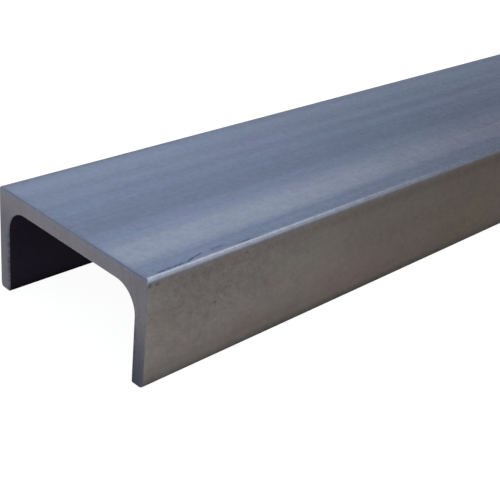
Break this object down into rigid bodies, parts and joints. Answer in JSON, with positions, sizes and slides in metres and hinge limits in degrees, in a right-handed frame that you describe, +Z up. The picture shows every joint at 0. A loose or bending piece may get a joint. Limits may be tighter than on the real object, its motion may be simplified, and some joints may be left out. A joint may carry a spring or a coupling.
{
  "type": "stainless steel channel",
  "caption": "Straight bar of channel section in mill-finish stainless steel: a flat web, two equal parallel flanges, rounded roots and square saw-cut ends.",
  "frame": {"origin": "midway along the bar and midway between the flanges, on the plane of the toes that the bar rests on", "axes": "+X along the bar, +Y across the web from flange to flange, +Z up from the toes to the back of the web"},
  "size_m": [0.6096, 0.0762, 0.0381],
  "materials": {
    "stainless": "hot-rolled, annealed and pickled mill finish, satin"
  },
  "bodies": {
    "root": {"channel": "stainless"}
  },
  "joints": []
}
